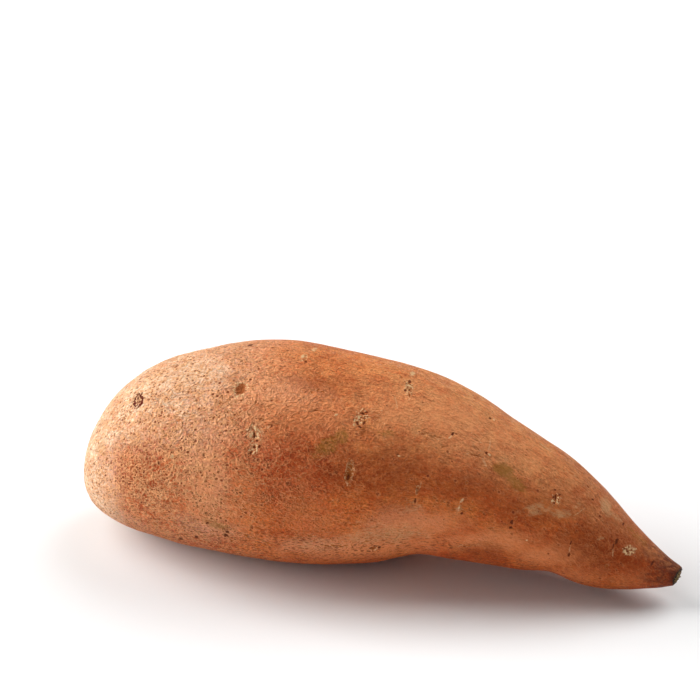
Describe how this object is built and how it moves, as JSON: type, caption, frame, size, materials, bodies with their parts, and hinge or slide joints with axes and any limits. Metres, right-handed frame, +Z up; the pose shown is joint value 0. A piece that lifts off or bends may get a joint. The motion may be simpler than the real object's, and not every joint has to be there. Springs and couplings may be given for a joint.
{
  "type": "sweet potato",
  "caption": "Whole raw sweet potato with blunt crown, thick belly and a tail that tapers and bends down to a snapped tip, lying on its belly.",
  "frame": {"origin": "middle of the root's bounding box in plan, on the surface that it rests on", "axes": "+X from the blunt crown end towards the tapered tail, +Y to the far side, +Z up through the back"},
  "size_m": [0.187, 0.0684, 0.0664],
  "materials": {
    "skin": "dry orange-brown root skin, matt with a slight sheen, with pores, scars and eyes"
  },
  "bodies": {
    "root": {"sweet_potato": "skin"}
  },
  "joints": []
}
